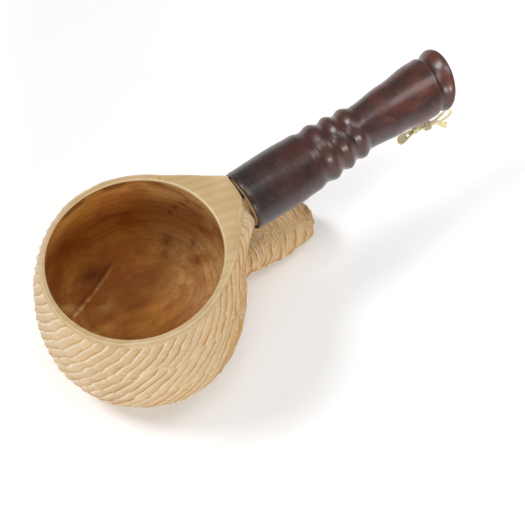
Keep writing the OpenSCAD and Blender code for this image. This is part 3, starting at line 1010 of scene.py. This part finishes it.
def make_cup(outside, inside):
    """The carved cup: bowl, deck, neck and heel joined into one mesh."""
    verts, faces, slots, marks = make_cup_bowl()
    cup = mesh_object("cup_carved", verts, faces, [outside, inside], marks=marks, slots=slots)
    face_outward(cup)
    verts, faces, marks = make_heel()
    marks.update({key: np.zeros(len(verts)) for key in ("lip", "planed", "figure", "dark", "pale")})
    heel = mesh_object("heel_carved", verts, faces, [outside], marks=marks)
    face_outward(heel)
    union = cup.modifiers.new("heel", "BOOLEAN")
    union.operation = "UNION"
    union.solver = "MANIFOLD"
    union.object = heel
    bpy.context.view_layer.update()
    solid = bpy.data.meshes.new_from_object(cup.evaluated_get(bpy.context.evaluated_depsgraph_get()))
    cup.modifiers.clear()
    cup.data = solid
    bpy.data.objects.remove(heel)
    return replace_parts(cup, "cup_body")


# ---- sheath


def sleeve_half(share):
    """Half width and half height of the leather at a share of its length."""
    table = np.array(STATIONS)
    k = np.clip(np.searchsorted(table[:, 0], share, side="right") - 1, 0, len(table) - 2)
    t = (share - table[k, 0]) / (table[k + 1, 0] - table[k, 0])
    t = 0.5 - 0.5 * np.cos(np.pi * np.clip(t, 0, 1))
    wide = table[k, 1] + (table[k + 1, 1] - table[k, 1]) * t
    tall = table[k, 2] + (table[k + 1, 2] - table[k, 2]) * t
    return wide, tall


def sleeve_ring(share, a, inset):
    """Points of one ring of the leather, drawn in by inset, which may vary round the ring."""
    x = SLEEVE_X + SLEEVE_LEN * share
    wide, tall = sleeve_half(np.array(share))
    y, h = (wide - inset) * np.cos(a), (tall - inset) * np.sin(a)
    slant = min(1.0, max(0.0, (x - LINER_END) / (SLEEVE_X + SLEEVE_LEN - LINER_END)))
    lean = h * math.tan(math.radians(MOUTH_LEAN)) + y * math.tan(math.radians(MOUTH_TURN))
    return np.stack([x + slant * lean, y, AXIS_Z + h], -1)


def make_sleeve(mat, cut_mat):
    """The leather: wet-formed ridges, groove and lip, cut ends, and the seam underneath."""
    n, mean_r = 180, 14.5
    a = 2 * np.pi * np.arange(n) / n
    from_seam = (a - 1.5 * np.pi) * mean_r
    ridges = (0.398, 0.473, 0.547, 0.922, 0.985, 0.02)
    groove_at = 0.945
    rows, raw_and_groove_shade, wear_and_highlight = [], [], []

    def add(share, inset, raw_and_shade=0.0, is_worn=0.0, rough=True):
        x = SLEEVE_X + SLEEVE_LEN * share
        seam = bell(from_seam, 0.7)
        pull = bell(from_seam, 3.0) * 0.25 * (1 - np.cos(2 * np.pi * (x - 64) / STITCH))
        wob = 0.07 * noise(x * 0.07 + 0 * a, 2 * np.cos(a) + 5, 1.0)
        wob = wob + 0.05 * noise(x * 0.2 + 0 * a, 3 * np.sin(a) + 9, 2.0)
        fine = 0.025 * noise(x * 0.9 + 0 * a, a * 5, 4.0)
        dent = (0.5 * seam + 0.3 * pull) if rough else 0.0
        rows.append(sleeve_ring(share, a, inset + dent - (wob + fine if rough else 0)))
        raw_and_groove_shade.append(raw_and_shade + 0 * a)
        wear_and_highlight.append(is_worn * (0.5 + 0.5 * noise(x * 0.3 + 0 * a, a * 3, 6.0)))

    end = ((0.012, 2.0), (0.004, 1.95), (0.001, 1.75), (0.0, 1.4), (0.0, 0.9), (0.0006, 0.5), (0.002, 0.2))
    for share, inset in end:
        add(share, inset, 1.0, 0.1)
    for share in np.linspace(0.005, 0.985, 300):
        near = max(bell(share - ridge, 0.007) for ridge in ridges)
        groove = bell(share - groove_at, 0.011)
        # Painted shade in the groove under the lip, and wear on the ridges.
        add(share, 0.0, 0.75 * groove, 0.45 * near)
    turned = ((0.990, 0.08), (0.995, 0.3), (0.9985, 0.65), (1.0, 1.05))
    turned += ((0.9995, 1.5), (0.996, 1.85), (0.99, 2.0))
    for share, inset in turned:
        add(share, inset, 0.0, 0.2)
    # The inside, a little darker than the outside.
    for share in np.linspace(0.98, 0.02, 70):
        add(share, LEATHER_T, 0.25, 0.0, False)
    verts = np.vstack(rows)
    faces = ring_faces(len(rows), n)
    slots = [1] * (n * (len(end) - 2)) + [0] * (len(faces) - n * (len(end) - 2))
    marks = {"raw_and_groove_shade": np.concatenate(raw_and_groove_shade), "wear_and_highlight": np.concatenate(wear_and_highlight)}
    obj = mesh_object("sleeve_leather", verts, faces, [mat, cut_mat], marks=marks, slots=slots)
    face_outward(obj)
    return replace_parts(obj, "leather_sleeve")


def make_stitches(mat):
    """The seam's stitches: short bows of thread across the underside."""
    parts = []
    for x in np.arange(SLEEVE_X + 3, SLEEVE_X + SLEEVE_LEN - 14, STITCH):
        share = (x + 1 - SLEEVE_X) / SLEEVE_LEN
        tall = float(sleeve_half(np.array(share))[1])
        t = np.linspace(-1, 1, 9)
        path = np.stack([x + 0.9 + 1.1 * t, 1.3 * t, AXIS_Z - tall - 0.3 + 0.75 * t**2], -1)
        parts.append(tube(path, 0.8, 0.7, sides=8))
    verts, faces = merge(parts)
    obj = mesh_object("seam_stitches", verts, faces, [mat])
    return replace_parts(obj, "seam_thread")


# ---- floor and light


def make_floor():
    """Plain white table top."""
    s = Shader("table_white")
    mat = s.finish((0.93, 0.93, 0.93, 1), 0.75, None, Specular_IOR_Level=0.2, Emission_Strength=0.12)
    s.bsdf.inputs["Emission Color"].default_value = (0.97, 0.98, 1, 1)
    mesh = bpy.data.meshes.new("table")
    mesh.from_pydata([(-4, -4, 0), (4, -4, 0), (4, 4, 0), (-4, 4, 0)], [], [(0, 1, 2, 3)])
    mesh.materials.append(mat)
    obj = bpy.data.objects.new("table", mesh)
    obj.location.z = -0.0002
    bpy.context.scene.collection.objects.link(obj)


def softbox(name, toward, distance, size, power, target=(0.06, 0, 0.05)):
    """Softbox that shines at a point, the middle of the object unless given, from a direction."""
    data = bpy.data.lights.new(name, "AREA")
    data.shape = "RECTANGLE"
    data.size, data.size_y = size
    data.energy = power
    lamp = bpy.data.objects.new(name, data)
    bpy.context.scene.collection.objects.link(lamp)
    way = Vector(toward).normalized()
    lamp.location = Vector(target) + way * distance
    lamp.rotation_mode = "QUATERNION"
    lamp.rotation_quaternion = way.to_track_quat("Z", "Y")


def make_light():
    """White surroundings, softboxes in front, behind and above, and a low card past the sheath."""
    world = bpy.data.worlds.new("studio")
    world.use_nodes = True
    world.node_tree.nodes["Background"].inputs[0].default_value = (1, 1, 1, 1)
    world.node_tree.nodes["Background"].inputs[1].default_value = 0.30
    bpy.context.scene.world = world
    softbox("front", (-0.36, -0.85, 0.34), 1.7, (0.55, 0.35), 11.0)
    softbox("back", (-0.42, 0.45, 0.80), 1.9, (0.55, 0.55), 18.0)
    softbox("top", (0.05, -0.05, 1), 0.60, (0.22, 0.22), 0.75, target=(0, 0, 0.05))
    softbox("card", (0, 0, 1), 0.15, (0.29, 0.07), 0.26, target=(0.315, -0.040, 0.066))
    bpy.context.scene.view_settings.view_transform = "Standard"


def main():
    make_camera()
    make_lace(rawhide(), antler())
    make_cup(birch(), birch_inside())
    make_sleeve(leather(), leather_cut())
    make_stitches(thread())
    liner = birch_plain()
    for node in ("liner_left", "liner_right"):
        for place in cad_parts[node].material_slots:
            place.material = liner
    make_floor()
    make_light()


main()
